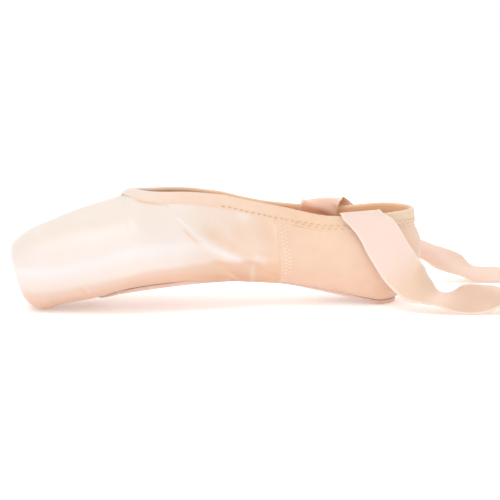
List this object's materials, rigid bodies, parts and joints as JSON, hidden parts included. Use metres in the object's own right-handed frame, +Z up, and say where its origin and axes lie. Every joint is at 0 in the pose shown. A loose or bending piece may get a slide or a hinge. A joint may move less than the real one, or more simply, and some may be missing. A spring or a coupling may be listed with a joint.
{
  "type": "pointe shoe",
  "caption": "Satin pointe shoe with a stiff flat-ended toe box, bound collar, thin curved sole and ribbons sewn inside each quarter, standing empty on its box and heel.",
  "frame": {"origin": "on the floor, under the middle of the shoe's length and width", "axes": "+Z up, -X from the heel to the toe, the wearer's left side at -Y"},
  "size_m": [0.383, 0.134, 0.067],
  "materials": {
    "upper_satin": "satin",
    "binding_tape": "matte",
    "sole_leather": "matte",
    "insole_board": "matte",
    "ribbon_satin": "satin"
  },
  "bodies": {
    "root": {"upper": "upper_satin", "collar_binding": "binding_tape", "outsole": "sole_leather", "insole": "insole_board", "ribbon_left": "ribbon_satin", "ribbon_right": "ribbon_satin"}
  },
  "joints": []
}
